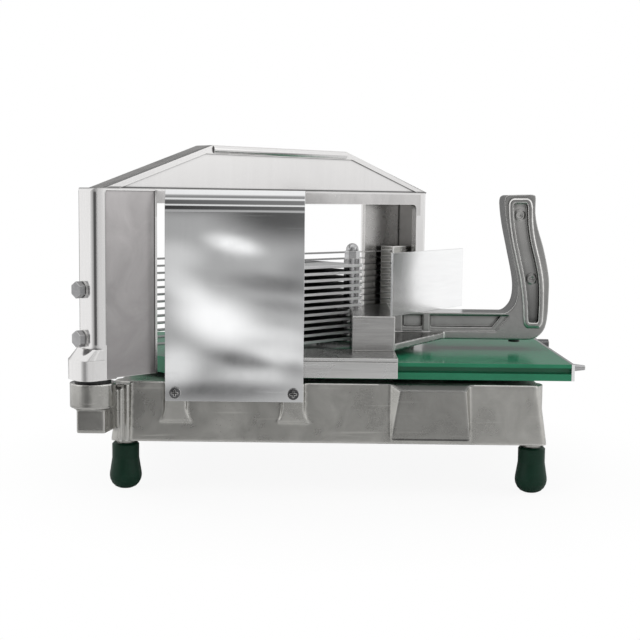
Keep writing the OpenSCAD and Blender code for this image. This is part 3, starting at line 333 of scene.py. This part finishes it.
def metal(name, dark, light, rough, spread, grain, pits, scratch, bump, brush=None, lines=1.0, metallic=1.0):
    """Bare metal with a cast skin, scratches and, where it is brushed, lines along one axis."""
    mat, tree, bsdf = new_material(name)
    bsdf.inputs["Metallic"].default_value = metallic
    skin = use(tree, CAST, Grain_Size=grain, Pit_Amount=pits)
    marks = use(tree, SCRATCH, Amount=scratch)
    tone = remap(tree, skin.outputs["Mottle"], *MOTTLE, 0.0, 1.0)
    gloss = remap(tree, skin.outputs["Mottle"], *MOTTLE, rough - spread, rough + spread)
    height = skin.outputs["Height"]
    if brush:
        brushed = use(tree, BRUSH, Stretch=brush)
        fine = brushed.outputs["Lines"]
        both = plus(tree, times(tree, fine, 0.6), times(tree, brushed.outputs["Broad"], 0.4))
        tone = remap(tree, both, 0.34, 0.66, 0.0, 1.0)
        height = plus(tree, times(tree, height, 0.4), times(tree, fine, lines))
    pit_colour = tuple(0.35 * c for c in dark)
    scratch_colour = tuple(min(1.0, 1.2 * c) for c in light)
    link(tree, mix_colour(tree, tone, dark, light), bsdf.inputs["Base Color"])
    lay_colour(tree, bsdf, times(tree, skin.outputs["Pits"], 0.8), pit_colour)
    lay_colour(tree, bsdf, times(tree, marks.outputs["Mask"], 0.5), scratch_colour)
    link(tree, gloss, bsdf.inputs["Roughness"])
    add_roughness(tree, bsdf, times(tree, marks.outputs["Mask"], 0.15))
    relief = add(tree, "ShaderNodeBump", Strength=bump, Distance=0.0004, Height=height)
    link(tree, relief.outputs["Normal"], bsdf.inputs["Normal"])
    return mat


def edge_light_and_shade(mat, width, bright, reach, dark):
    """Painted highlight on corners, which also get a softer shine, and painted shade in creases."""
    tree, bsdf = shader_of(mat)
    wear = use(tree, EDGE_LIGHT, Width=width, Reach=reach)
    corners = times(tree, wear.outputs["Corners"], bright)
    # Painted shade in creases, then a painted highlight on corners
    lay_colour(tree, bsdf, times(tree, wear.outputs["Creases"], dark), PAINTED_SHADE)
    lay_colour(tree, bsdf, corners, PAINTED_HIGHLIGHT)
    add_roughness(tree, bsdf, times(tree, corners, 0.15))


def darken_flats(mat, shade, rough, top):
    """Level faces inside a stack of plates: darkened as painted shade between the plates, while edges and
    top stay bright.
    """
    tree, bsdf = shader_of(mat)
    height = object_xyz(tree)["Z"]
    cover = remap(tree, height, top - 0.0004, top - 0.0001, 0.0, 0.7)
    mask = math_node(tree, "MAXIMUM", upright_mask(tree), cover)
    base = bsdf.inputs["Base Color"]
    bright = base.links[0].from_socket
    # Painted shade on level faces between the fins
    shaded_flat = mix_colour(tree, shade, bright, FIN_GAP_SHADE)
    link(tree, mix_colour(tree, mask, shaded_flat, bright), base)
    add_roughness(tree, bsdf, remap(tree, mask, 0.0, 1.0, rough, 0.0))


def turned_barrel(mat, centre, radius, smoother):
    """Darker and smoother lathe-turned skin within a radius of an upright axis."""
    tree, bsdf = shader_of(mat)
    coord = tree.nodes.new("ShaderNodeTexCoord")
    flat = vector_math(tree, "MULTIPLY", coord.outputs["Object"], (1.0, 1.0, 0.0))
    away = vector_math(tree, "DISTANCE", flat.outputs["Vector"], (centre.x, centre.y, 0.0))
    mask = remap(tree, away.outputs["Value"], radius, radius + 0.0003, 1.0, 0.0)
    add_roughness(tree, bsdf, times(tree, mask, -smoother))
    lay_colour(tree, bsdf, times(tree, mask, 0.3), TURNED)


def wedge_shading(mat, shade):
    """Front face of the base's wedge made darker than the cast wall round it, and painted shade on its top
    ledge.
    """
    tree, bsdf = shader_of(mat)
    place = object_xyz(tree)
    face = remap(tree, place["Y"], WEDGE_FRONT, WEDGE_FRONT + BORDER, 1.0, 0.0)
    level = math_node(tree, "SUBTRACT", 1.0, upright_mask(tree, level=0.35, upright=0.25))
    # Painted shade on the level top ledge
    ledge = times(tree, span(tree, place["Y"], WEDGE_FRONT, WEDGE_FRONT + WEDGE_OUT, BORDER), level, 2.0)
    ends = span(tree, place["X"], *WEDGE_X, 2 * BORDER)
    mask = times(tree, ends, math_node(tree, "MAXIMUM", face, ledge))
    lay_colour(tree, bsdf, times(tree, mask, shade), DEEP_SHADE)


def frame_axes(tree):
    """Place on the blade frame along its own axes, from its middle, and the height."""
    x, y, z = object_xyz(tree)
    from_x = math_node(tree, "SUBTRACT", x, FRAME_MID.x)
    from_y = math_node(tree, "SUBTRACT", y, FRAME_MID.y)
    return {
        "along": times(tree, plus(tree, from_x, from_y), math.sqrt(0.5)),
        "depth": times(tree, math_node(tree, "SUBTRACT", from_y, from_x), math.sqrt(0.5)),
        "height": z,
    }


def frame_tints_and_shade(mat):
    """Frame casting: panel, inside and bar tinted darker as painted shade and made rougher, with painted
    shade lines at the gable crease and panel step, and a painted dark reflection along the post.
    """
    tree, bsdf = shader_of(mat)
    axes = frame_axes(tree)
    zones = {
        name: times(tree, *(span(tree, axes[axis], *limits) for axis, limits in borders.items()))
        for name, borders in FRAME_ZONES.items()
    }
    skin = use(tree, CAST, Grain_Size=0.0012, Pit_Amount=0.5)
    # Painted shade: the tints grow darker towards the legs' feet and lighter towards the eaves
    cloud = times(tree, remap(tree, skin.outputs["Mottle"], *MOTTLE, 0.85, 1.1),
                  remap(tree, axes["height"], LEG_FOOT, EAVES, 0.86, 1.22))
    for name, colour, rough in FRAME_TINTS:
        tint = vector_math(tree, "SCALE", colour)
        link(tree, cloud, tint.inputs["Scale"])
        lay_colour(tree, bsdf, zones[name], tint.outputs["Vector"])
        add_roughness(tree, bsdf, times(tree, zones[name], rough))
    # Painted dark lines: shade in the gable crease and at the panel's step, and a dark reflection along the
    # post
    post_lines = math_node(tree, "MAXIMUM", zones["post_dark_line"], zones["panel_step"])
    painted_lines = math_node(tree, "MAXIMUM", zones["gable_crease"], times(tree, post_lines, zones["post"]))
    lay_colour(tree, bsdf, times(tree, painted_lines, 0.75), DEEP_SHADE)


def from_handle_middle(tree, place):
    return math_node(tree, "ABSOLUTE", math_node(tree, "SUBTRACT", place["Y"], HANDLE_MID))


def bead_ledge_highlight(mat):
    """Painted highlight on the ledges of the bead on the handle's sides."""
    tree, bsdf = shader_of(mat)
    ledge = span(tree, from_handle_middle(tree, object_xyz(tree)), *BEAD_LEDGE, BORDER / 2)
    # Painted highlight on the bead's ledges
    lay_colour(tree, bsdf, times(tree, ledge, 0.85), PAINTED_HIGHLIGHT)
    add_roughness(tree, bsdf, times(tree, ledge, 0.2))


def grip_floor(mat):
    """Sunk floor of the grip: painted sheen at the top, and painted shade growing darker towards its foot.
    """
    tree, bsdf = shader_of(mat)
    place = object_xyz(tree)
    sunk = span(tree, from_handle_middle(tree, place), *SUNK_FLOOR, BORDER)
    floor = times(tree, sunk, remap(tree, place["X"], GRIP_X, GRIP_X + 0.001, 0.0, 1.0))
    # Painted shade towards the foot and painted sheen towards the top of the sunk floor
    shade_low = remap(tree, place["Z"], GRIP_FOOT, GRIP_WAIST, 0.62, 0.0)
    shine = remap(tree, place["Z"], GRIP_WAIST, GRIP_TOP, 0.0, 0.4)
    lay_colour(tree, bsdf, times(tree, floor, shade_low), PAINTED_SHADE)
    lay_colour(tree, bsdf, times(tree, floor, shine), PAINTED_SHEEN)


def moulded(name, dark, light, rough, shine, grain, scratch):
    """Moulded plastic or rubber with faint cloudiness, fine skin and rubbed scratches."""
    mat, tree, bsdf = new_material(name)
    bsdf.inputs["Specular IOR Level"].default_value = shine
    skin = use(tree, CAST, Grain_Size=grain, Pit_Amount=0.0)
    marks = use(tree, SCRATCH, Amount=scratch)
    tone = remap(tree, skin.outputs["Mottle"], *MOTTLE, 0.0, 1.0)
    scratch_colour = tuple(min(1.0, 1.6 * c + 0.02) for c in light)
    link(tree, mix_colour(tree, tone, dark, light), bsdf.inputs["Base Color"])
    lay_colour(tree, bsdf, times(tree, marks.outputs["Mask"], 0.25), scratch_colour)
    gloss = remap(tree, skin.outputs["Mottle"], *MOTTLE, rough * 0.8, rough * 1.25)
    link(tree, gloss, bsdf.inputs["Roughness"])
    add_roughness(tree, bsdf, times(tree, marks.outputs["Mask"], 0.2))
    relief = add(tree, "ShaderNodeBump", Strength=0.05, Distance=0.0003, Height=skin.outputs["Height"])
    link(tree, relief.outputs["Normal"], bsdf.inputs["Normal"])
    return mat


# Finishes

cast_aluminium = metal(
    "cast_aluminium", (0.38, 0.375, 0.355), (0.55, 0.543, 0.515), rough=0.30, spread=0.07,
    grain=0.0011, pits=0.7, scratch=0.8, bump=0.22)
turned_barrel(cast_aluminium, HINGE, BARREL_R, smoother=0.20)
wedge_shading(cast_aluminium, shade=0.4)
edge_light_and_shade(cast_aluminium, width=0.0011, bright=0.8, reach=0.004, dark=0.7)

rail_aluminium = metal(
    "rail_aluminium", (0.58, 0.575, 0.57), (0.72, 0.72, 0.71), rough=0.26, spread=0.05,
    grain=0.0014, pits=0.2, scratch=0.35, bump=0.08, brush=(30.0, 900.0, 900.0), lines=0.5)
edge_light_and_shade(rail_aluminium, width=0.0006, bright=0.5, reach=0.003, dark=0.5)

handle_aluminium = metal(
    "handle_aluminium", (0.26, 0.258, 0.252), (0.39, 0.388, 0.38), rough=0.24, spread=0.05,
    grain=0.0012, pits=0.3, scratch=0.25, bump=0.12)
bead_ledge_highlight(handle_aluminium)
grip_floor(handle_aluminium)
edge_light_and_shade(handle_aluminium, width=0.0008, bright=0.5, reach=0.004, dark=0.75)

beam_aluminium = metal(
    "beam_aluminium", (0.38, 0.376, 0.37), (0.53, 0.525, 0.515), rough=0.22, spread=0.05,
    grain=0.0012, pits=0.4, scratch=0.4, bump=0.10, brush=(40.0, 700.0, 700.0), lines=0.4)
edge_light_and_shade(beam_aluminium, width=0.0009, bright=0.7, reach=0.004, dark=0.7)

polished_aluminium = metal(
    "polished_aluminium", (0.765, 0.755, 0.75), (0.80, 0.79, 0.785), rough=0.18, spread=0.03,
    grain=0.0018, pits=0.1, scratch=0.2, bump=0.012, brush=(760.0, 760.0, 16.0), lines=0.4)
frame_tints_and_shade(polished_aluminium)
edge_light_and_shade(polished_aluminium, width=0.0006, bright=0.35, reach=0.0022, dark=0.8)

guard_steel = metal(
    "guard_steel", (0.825, 0.83, 0.835), (0.845, 0.85, 0.855), rough=0.042, spread=0.012,
    grain=0.002, pits=0.0, scratch=0.12, bump=0.003, brush=(700.0, 700.0, 18.0), lines=0.4)
sheet_steel = metal(
    "sheet_steel", (0.91, 0.912, 0.915), (0.95, 0.952, 0.955), rough=0.22, spread=0.03,
    grain=0.002, pits=0.0, scratch=0.12, bump=0.012, brush=(60.0, 60.0, 900.0), lines=0.5)
fin_steel = metal(
    "fin_steel", (0.86, 0.86, 0.86), (0.93, 0.93, 0.93), rough=0.42, spread=0.04,
    grain=0.002, pits=0.0, scratch=0.2, bump=0.03, brush=(60.0, 60.0, 900.0), lines=0.5, metallic=0.6)
darken_flats(fin_steel, shade=0.9, rough=0.1, top=FIN_TOP)
blade_steel = metal(
    "blade_steel", (0.55, 0.55, 0.55), (0.72, 0.72, 0.72), rough=0.2, spread=0.04,
    grain=0.002, pits=0.0, scratch=0.2, bump=0.03, brush=(60.0, 60.0, 900.0), lines=0.5)

fastener_steel = metal(
    "fastener_steel", (0.40, 0.40, 0.405), (0.56, 0.56, 0.565), rough=0.14, spread=0.05,
    grain=0.0008, pits=0.3, scratch=0.3, bump=0.08)
edge_light_and_shade(fastener_steel, width=0.0004, bright=0.5, reach=0.003, dark=0.8)
bolt_steel = metal(
    "bolt_steel", (0.20, 0.20, 0.203), (0.42, 0.42, 0.425), rough=0.12, spread=0.05,
    grain=0.0007, pits=0.4, scratch=0.4, bump=0.10)
edge_light_and_shade(bolt_steel, width=0.0004, bright=0.7, reach=0.004, dark=0.9)
screw_steel = metal(
    "screw_steel", (0.07, 0.07, 0.072), (0.16, 0.16, 0.165), rough=0.16, spread=0.06,
    grain=0.0008, pits=0.3, scratch=0.3, bump=0.08)
edge_light_and_shade(screw_steel, width=0.0003, bright=0.8, reach=0.0012, dark=0.9)

board_plastic = moulded(
    "board_plastic", (0.014, 0.200, 0.098), (0.022, 0.240, 0.122),
    rough=0.14, shine=0.36, grain=0.0015, scratch=0.35)
foot_rubber = moulded(
    "foot_rubber", (0.002, 0.022, 0.011), (0.003, 0.034, 0.018),
    rough=0.42, shine=0.22, grain=0.0010, scratch=0.3)
black_plastic = moulded(
    "black_plastic", (0.012, 0.012, 0.012), (0.025, 0.025, 0.026),
    rough=0.4, shine=0.4, grain=0.0010, scratch=0.2)

FINISH = {
    "base_casting": cast_aluminium, "cross_beam": beam_aluminium,
    "front_rail": rail_aluminium, "rear_rail": rail_aluminium,
    "front_blade_holder": cast_aluminium, "rear_blade_holder": cast_aluminium,
    "push_handle": handle_aluminium, "frame_casting": polished_aluminium,
    "front_guard": guard_steel, "hand_guard": sheet_steel, "end_strip": sheet_steel,
    "guard_screws": screw_steel, "stop_screw": screw_steel,
    "tension_bolts": bolt_steel, "tension_washers": bolt_steel,
    "slide_board": board_plastic, "bearing_washers": black_plastic, "glide_buttons": black_plastic,
}


def finish_for(name):
    if name in FINISH:
        return FINISH[name]
    if name.startswith("rubber_foot"):
        return foot_rubber
    if name.startswith("pusher_fin"):
        return fin_steel
    if name.startswith("blade_") and name != "blade_rods":
        return blade_steel
    return fastener_steel


# Rounded edges and softened castings

# Bevel width in metres asked for on nodes whose real edges are rounded. The clamp on overlaps keeps it
# narrower where a node has very short edges, and next to nothing on the frame casting.
EDGE = {
    "frame_casting": 0.0011,
    "front_rail": 0.0004, "rear_rail": 0.0004, "slide_board": 0.0006, "end_strip": 0.0003,
    "front_guard": 0.0003, "hand_guard": 0.0003, "tension_bolts": 0.0004, "cap_nuts": 0.0003,
    "front_blade_holder": 0.0004, "rear_blade_holder": 0.0004,
}
FIN_EDGE = 0.00022
# Grain in metres, and the share of the faces that is kept
SAND_CAST = {
    "push_handle": (0.0005, 0.3), "cross_beam": (0.0005, 0.3), "base_casting": (0.0008, 0.15),
}
# Faces that meet at more than the first angle make an edge, and at less than the second one flat
EDGE_ANGLE = math.radians(32)
FLAT_ANGLE = math.radians(0.6)


def shading_by_angle(limit):
    """Geometry nodes that drop the stored normals and shade smooth up to an edge angle."""
    group = bpy.data.node_groups.new("shade_by_angle", "GeometryNodeTree")
    for way in ("INPUT", "OUTPUT"):
        group.interface.new_socket("Geometry", in_out=way, socket_type="NodeSocketGeometry")
    shape = group.nodes.new("NodeGroupInput").outputs[0]
    plain = add(group, "GeometryNodeRemoveAttribute", Geometry=shape, Name="custom_normal")
    faces = add(group, "GeometryNodeSetShadeSmooth", Geometry=plain.outputs["Geometry"])
    faces.domain = "FACE"
    turn = group.nodes.new("GeometryNodeInputMeshEdgeAngle")
    soft = group.nodes.new("FunctionNodeCompare")
    soft.data_type = "FLOAT"
    soft.operation = "LESS_THAN"
    fill(group, soft, {"A": turn.outputs["Unsigned Angle"], "B": limit})
    edges = add(group, "GeometryNodeSetShadeSmooth", Geometry=faces.outputs["Geometry"],
                Shade_Smooth=soft.outputs["Result"])
    edges.domain = "EDGE"
    link(group, edges.outputs["Geometry"], group.nodes.new("NodeGroupOutput").inputs[0])
    return group


SHADE_BY_ANGLE = shading_by_angle(EDGE_ANGLE)


def round_edges(obj, width):
    weld = obj.modifiers.new("weld", "WELD")
    weld.merge_threshold = 0.00001
    shade = obj.modifiers.new("shade", "NODES")
    shade.node_group = SHADE_BY_ANGLE
    flat = obj.modifiers.new("flat", "DECIMATE")
    flat.decimate_type = "DISSOLVE"
    flat.angle_limit = FLAT_ANGLE
    bevel = obj.modifiers.new("bevel", "BEVEL")
    bevel.width = width
    bevel.segments = 3
    bevel.limit_method = "ANGLE"
    bevel.angle_limit = EDGE_ANGLE
    bevel.harden_normals = True
    bevel.use_clamp_overlap = True


def sand_cast(obj, grain, kept):
    """Softened corners and beads of a sand casting, all of one radius."""
    cast = obj.modifiers.new("cast", "REMESH")
    cast.mode = "VOXEL"
    cast.voxel_size = grain
    cast.use_smooth_shade = True
    soft = obj.modifiers.new("soft", "SMOOTH")
    soft.factor = 0.5
    soft.iterations = 3
    less = obj.modifiers.new("less", "DECIMATE")
    less.ratio = kept


for name, obj in nodes.items():
    obj.data.materials.clear()
    obj.data.materials.append(finish_for(name))
    if name in SAND_CAST:
        sand_cast(obj, *SAND_CAST[name])
    elif name in EDGE:
        round_edges(obj, EDGE[name])
    elif name.startswith("pusher_fin"):
        round_edges(obj, FIN_EDGE)


# Camera at the photograph's place

# In the photograph's axes: metres, degrees, and the focal length and width of the picture in pixels
CAMERA_AT = Vector((0.0, -0.8667, 0.1936))
PITCH = 5.836
ROLL = 0.646
YAW = -0.12
FOCAL_PIXELS = 1201.55
PICTURE_PIXELS = 640.0
SENSOR_MM = 36.0


def photo_camera():
    pitch, roll, yaw = math.radians(PITCH), math.radians(ROLL), math.radians(YAW)
    level = Vector((math.cos(yaw), -math.sin(yaw), 0.0))
    ahead = Vector((math.sin(yaw), math.cos(yaw), 0.0))
    forward = ahead * math.cos(pitch) + Vector((0.0, 0.0, -math.sin(pitch)))
    up = level.cross(forward)
    right = level * math.cos(roll) + up * math.sin(roll)
    top = up * math.cos(roll) - level * math.sin(roll)
    data = bpy.data.cameras.new("photo_camera")
    data.sensor_width = SENSOR_MM
    data.lens = FOCAL_PIXELS / PICTURE_PIXELS * SENSOR_MM
    data.clip_start = 0.01
    cam = bpy.data.objects.new("photo_camera", data)
    rotation = Matrix((right, top, -forward)).transposed().to_4x4()
    cam.matrix_world = Matrix.Translation(CAMERA_AT + SHIFT) @ rotation
    scene.collection.objects.link(cam)
    scene.camera = cam


photo_camera()


# Studio

# Soft patches of light and shade in the room behind the camera, as sideways and upward directions:
# centre, half sizes, tilt in degrees, gain
PATCHES = [
    ((-0.088, -0.090), (0.056, 0.034), -28, 0.72),
    ((-0.118, -0.054), (0.036, 0.020), -28, 0.36),
    ((-0.074, -0.014), (0.034, 0.012), -16, 0.75),
    ((-0.122, -0.026), (0.034, 0.022), -10, 0.28),
    ((-0.122, -0.135), (0.030, 0.030), -20, 0.45),
    ((-0.034, -0.106), (0.040, 0.014), -12, 0.30),
    ((-0.036, -0.124), (0.040, 0.014), -8, 0.40),
    ((-0.050, -0.145), (0.050, 0.012), 0, 0.30),
    ((-0.036, -0.054), (0.062, 0.014), -8, -0.30),
    ((-0.030, -0.076), (0.040, 0.010), -10, -0.20),
    ((-0.016, -0.036), (0.028, 0.022), 0, -0.18),
    ((-0.066, -0.130), (0.042, 0.012), -14, -0.34),
    ((-0.085, -0.160), (0.080, 0.012), 0, -0.30),
    ((-0.024, -0.140), (0.018, 0.014), 0, -0.28),
    ((-0.034, 0.018), (0.085, 0.044), -12, -0.42),
    ((-0.115, 0.024), (0.050, 0.012), 0, -0.25),
]
# Light against height behind the camera: the upward part of the direction, brightness
BANDS = [
    (-0.30, 0.49), (-0.02, 0.49), (0.05, 0.52), (0.10, 0.46), (0.125, 0.12),
    (0.26, 0.12), (0.285, 0.9), (0.32, 0.9), (0.35, 0.2), (0.50, 0.2),
    (0.53, 0.9), (0.57, 0.9), (0.60, 0.06), (0.67, 0.06), (0.72, 1.0),
]
# Limits of the room's brightness
ROOM_LEAST = 0.05
ROOM_MOST = 1.25


def banded_light(tree, up):
    low, high = BANDS[0][0], BANDS[-1][0]
    ramp = add(tree, "ShaderNodeValToRGB", Fac=remap(tree, up, low, high, 0.0, 1.0))
    stops = ramp.color_ramp.elements
    while len(stops) < len(BANDS):
        stops.new(0.5)
    for stop, (height, value) in zip(stops, BANDS):
        stop.position = (height - low) / (high - low)
        stop.color = (value, value, value, 1.0)
    return ramp.outputs["Color"]


def room_light(tree, side, up):
    """Room behind the camera: level bands, soft patches and a lighter right side."""
    room = banded_light(tree, up)
    flat = add(tree, "ShaderNodeCombineXYZ", X=side, Y=up)
    for centre, half_sizes, tilt, gain in PATCHES:
        spot = add(tree, "ShaderNodeMapping")
        spot.vector_type = "TEXTURE"
        fill(tree, spot, {
            "Vector": flat.outputs["Vector"], "Location": (*centre, 0.0),
            "Rotation": (0.0, 0.0, math.radians(tilt)), "Scale": (*half_sizes, 1.0)})
        away = vector_math(tree, "LENGTH", spot.outputs["Vector"])
        fade = remap(tree, away.outputs["Value"], 0.2, 1.0, gain, 0.0)
        fade.node.interpolation_type = "SMOOTHSTEP"
        room = plus(tree, room, fade)
    room = plus(tree, room, remap(tree, side, -0.22, 0.22, -0.16, 0.26))
    return math_node(tree, "MINIMUM", math_node(tree, "MAXIMUM", room, ROOM_LEAST), ROOM_MOST)


def white_studio(tree, side, depth, up):
    """White all round, with a little shade low on the right and a grey card behind the object."""
    below = remap(tree, up, 0.006, -0.012, 0.0, 1.0)
    right = times(tree, remap(tree, side, 0.25, 0.6, 0.0, 1.0), remap(tree, depth, 0.3, 0.1, 0.0, 1.0))
    shade = times(tree, below, right, 0.25)
    behind = remap(tree, depth, 0.66, 0.88, 0.0, 1.0)
    card = times(tree, behind, remap(tree, side, 0.66, 0.5, 0.0, 1.0), 0.72)
    return math_node(tree, "SUBTRACT", math_node(tree, "SUBTRACT", 1.0, shade), card)


def studio_world():
    """White studio, with a dim room in front of the object."""
    world = bpy.data.worlds.new("studio")
    scene.world = world
    world.use_nodes = True
    tree = world.node_tree
    tree.nodes.clear()
    coord = tree.nodes.new("ShaderNodeTexCoord")
    side, depth, up = add(tree, "ShaderNodeSeparateXYZ", Vector=coord.outputs["Generated"]).outputs
    front = remap(tree, depth, -0.45, -0.88, 0.0, 1.0)
    not_front = math_node(tree, "SUBTRACT", 1.0, front)
    seen = plus(tree, times(tree, white_studio(tree, side, depth, up), not_front),
                times(tree, room_light(tree, side, up), front))
    # The camera itself looks into plain white
    path = tree.nodes.new("ShaderNodeLightPath")
    seen = math_node(tree, "MAXIMUM", seen, path.outputs["Is Camera Ray"])
    grey = add(tree, "ShaderNodeCombineXYZ", X=seen, Y=seen, Z=seen)
    sky = add(tree, "ShaderNodeBackground", Color=grey.outputs["Vector"], Strength=1.0)
    add(tree, "ShaderNodeOutputWorld", Surface=sky.outputs["Background"])


def pale_floor():
    """Floor that keeps the object's shadow and fades to white for the camera."""
    half, front, back, gap = 0.46, -0.30, 0.46, 0.0002
    corners = [(-half, front, 0), (half, front, 0), (half, back, 0), (-half, back, 0)]
    mesh = bpy.data.meshes.new("floor")
    mesh.from_pydata(corners, [], [(0, 1, 2, 3)])
    floor = bpy.data.objects.new("floor", mesh)
    floor.location.z = -gap
    scene.collection.objects.link(floor)
    mat, tree, bsdf = new_material("pale_floor")
    fill(tree, bsdf, {"Base_Color": (0.8, 0.8, 0.8, 1), "Roughness": 0.6})
    path = tree.nodes.new("ShaderNodeLightPath")
    coord = tree.nodes.new("ShaderNodeTexCoord")
    away = vector_math(tree, "LENGTH", coord.outputs["Object"])
    veil = remap(tree, away.outputs["Value"], 0.15, 0.27, 0.92, 1.0)
    glow = add(tree, "ShaderNodeEmission", Color=(1, 1, 1, 1), Strength=1.0)
    mix = tree.nodes.new("ShaderNodeMixShader")
    link(tree, times(tree, path.outputs["Is Camera Ray"], veil), mix.inputs[0])
    link(tree, bsdf.outputs["BSDF"], mix.inputs[1])
    link(tree, glow.outputs["Emission"], mix.inputs[2])
    link(tree, mix.outputs["Shader"], tree.nodes["Material Output"].inputs["Surface"])
    mesh.materials.append(mat)


def soft_box(name, where, target, size, power):
    data = bpy.data.lights.new(name, "AREA")
    data.shape = "RECTANGLE"
    data.size, data.size_y = size
    data.energy = power
    lamp = bpy.data.objects.new(name, data)
    lamp.location = where
    aim = Vector(target) - Vector(where)
    lamp.rotation_euler = aim.to_track_quat("-Z", "Y").to_euler()
    scene.collection.objects.link(lamp)


studio_world()
pale_floor()
soft_box("top_box", (0.0, -0.2, 1.5), target=(0, 0, 0.1), size=(1.4, 1.0), power=1.2)
soft_box("left_box", (-1.3, -0.7, 0.7), target=(0, 0, 0.12), size=(0.8, 0.8), power=0.9)
soft_box("right_box", (1.4, -0.5, 0.7), target=(0, 0, 0.12), size=(0.8, 0.8), power=0.9)

scene.view_settings.view_transform = "Standard"
